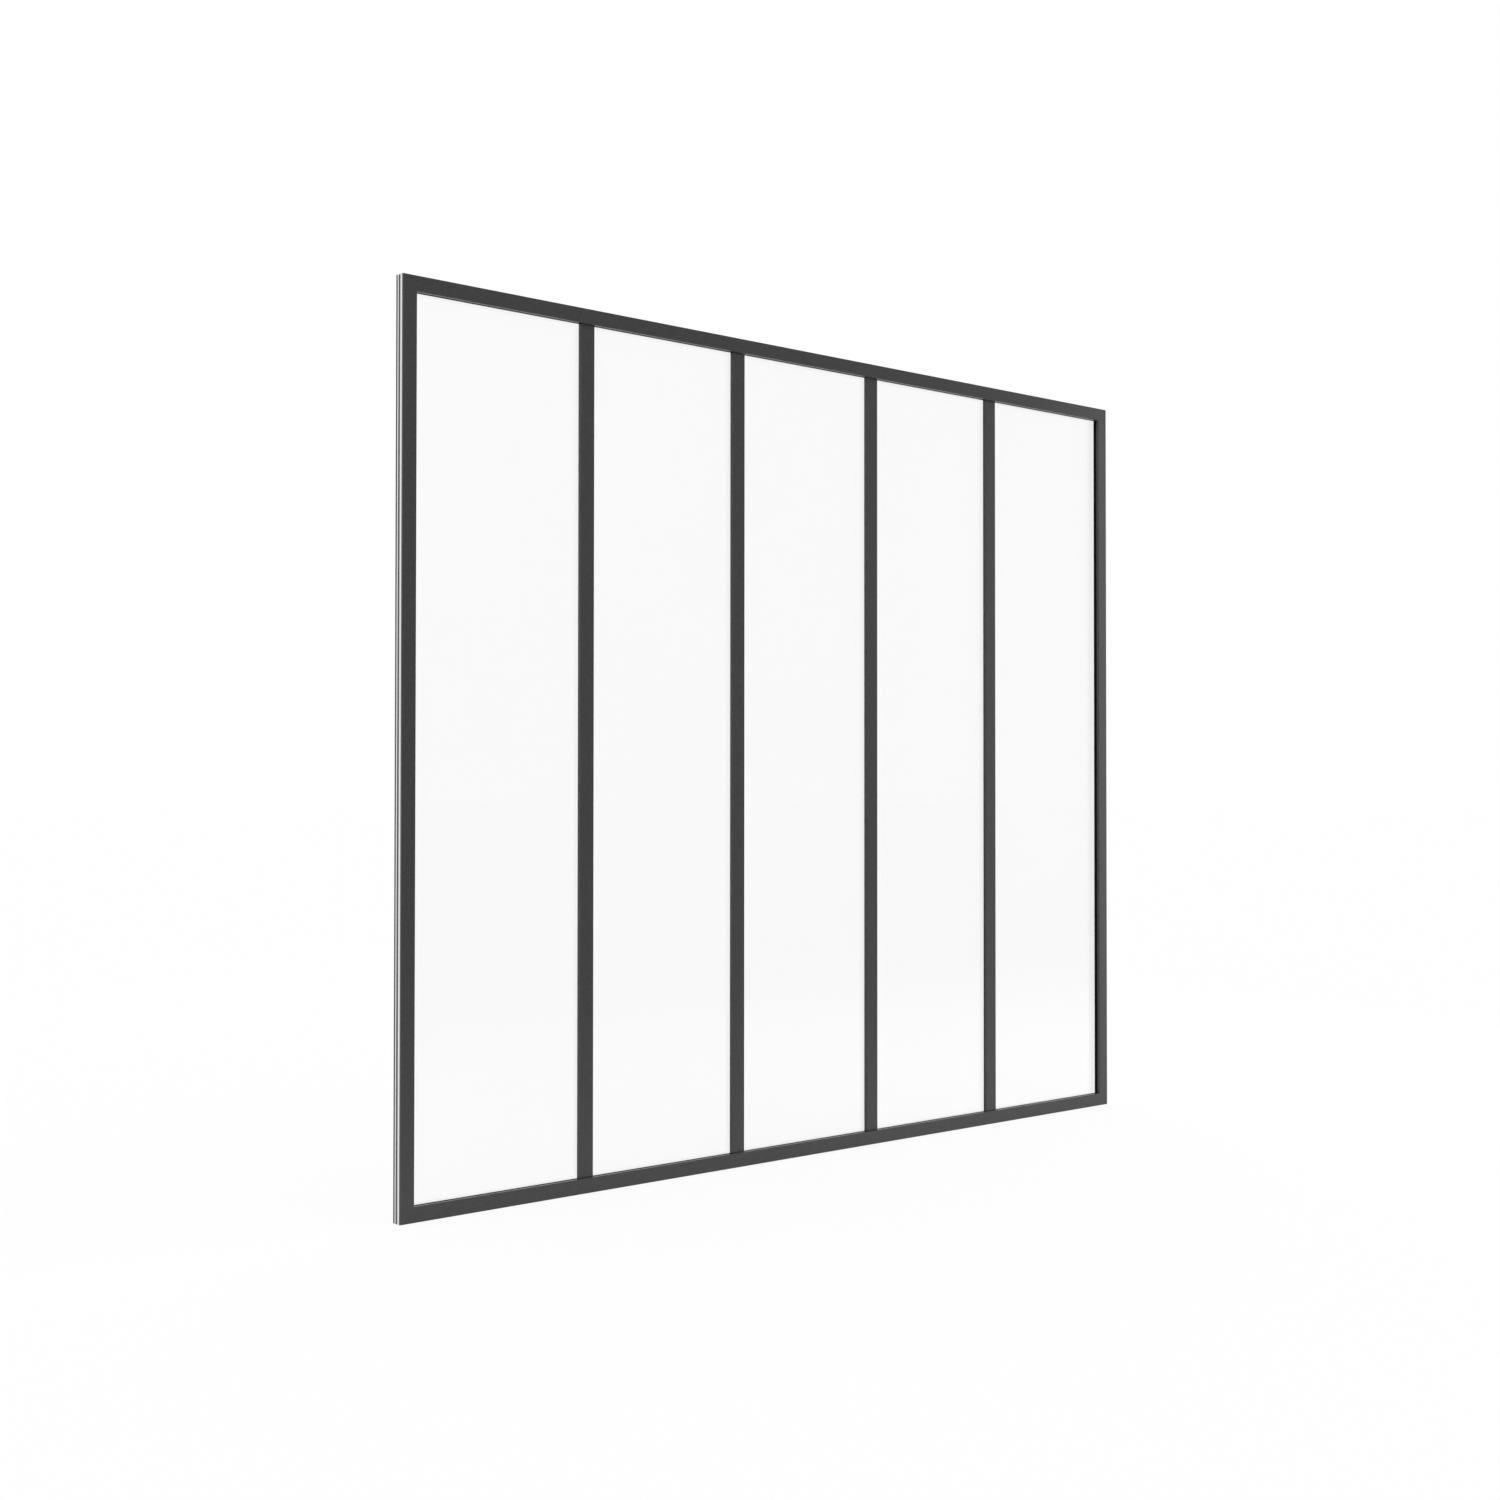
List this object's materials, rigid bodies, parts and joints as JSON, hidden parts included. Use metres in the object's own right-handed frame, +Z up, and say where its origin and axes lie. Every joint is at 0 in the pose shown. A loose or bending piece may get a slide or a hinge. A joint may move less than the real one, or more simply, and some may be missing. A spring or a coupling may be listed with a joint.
{
  "type": "fixed glass partition",
  "caption": "Fixed interior glass partition: slim dark powder-coated aluminium frame, tall clear panes between narrow uprights, glazed with rubber and rear beads.",
  "frame": {"origin": "on the bottom wall-side rib, midway along the width and midway between front and rear", "axes": "+X along the width to the right seen from the front, +Y from the front to the rear, +Z up"},
  "size_m": [1.53, 0.0186, 1.3],
  "materials": {
    "dark_powder_coat": "satin charcoal powder coat on extruded aluminium",
    "clear_glass": "clear polished float glass",
    "black_rubber": "matt black extruded rubber",
    "pale_seal": "matt pale grey perimeter seal",
    "block_plastic": "matt moulded plastic"
  },
  "bodies": {
    "root": {"bottom_rail": "dark_powder_coat", "bottom_seal": "pale_seal", "front_gasket_1": "black_rubber", "front_gasket_2": "black_rubber", "front_gasket_3": "black_rubber", "front_gasket_4": "black_rubber", "front_gasket_5": "black_rubber", "glass_pane_1": "clear_glass", "glass_pane_2": "clear_glass", "glass_pane_3": "clear_glass", "glass_pane_4": "clear_glass", "glass_pane_5": "clear_glass", "left_jamb": "dark_powder_coat", "left_seal": "pale_seal", "mullion_1": "dark_powder_coat", "mullion_2": "dark_powder_coat", "mullion_3": "dark_powder_coat", "mullion_4": "dark_powder_coat", "mullion_cap_1": "dark_powder_coat", "mullion_cap_2": "dark_powder_coat", "mullion_cap_3": "dark_powder_coat", "mullion_cap_4": "dark_powder_coat", "rear_bead_bottom": "dark_powder_coat", "rear_bead_left": "dark_powder_coat", "rear_bead_right": "dark_powder_coat", "rear_bead_top": "dark_powder_coat", "rear_gasket_1": "black_rubber", "rear_gasket_2": "black_rubber", "rear_gasket_3": "black_rubber", "rear_gasket_4": "black_rubber", "rear_gasket_5": "black_rubber", "right_jamb": "dark_powder_coat", "right_seal": "pale_seal", "setting_blocks": "block_plastic", "top_rail": "dark_powder_coat", "top_seal": "pale_seal"}
  },
  "joints": []
}
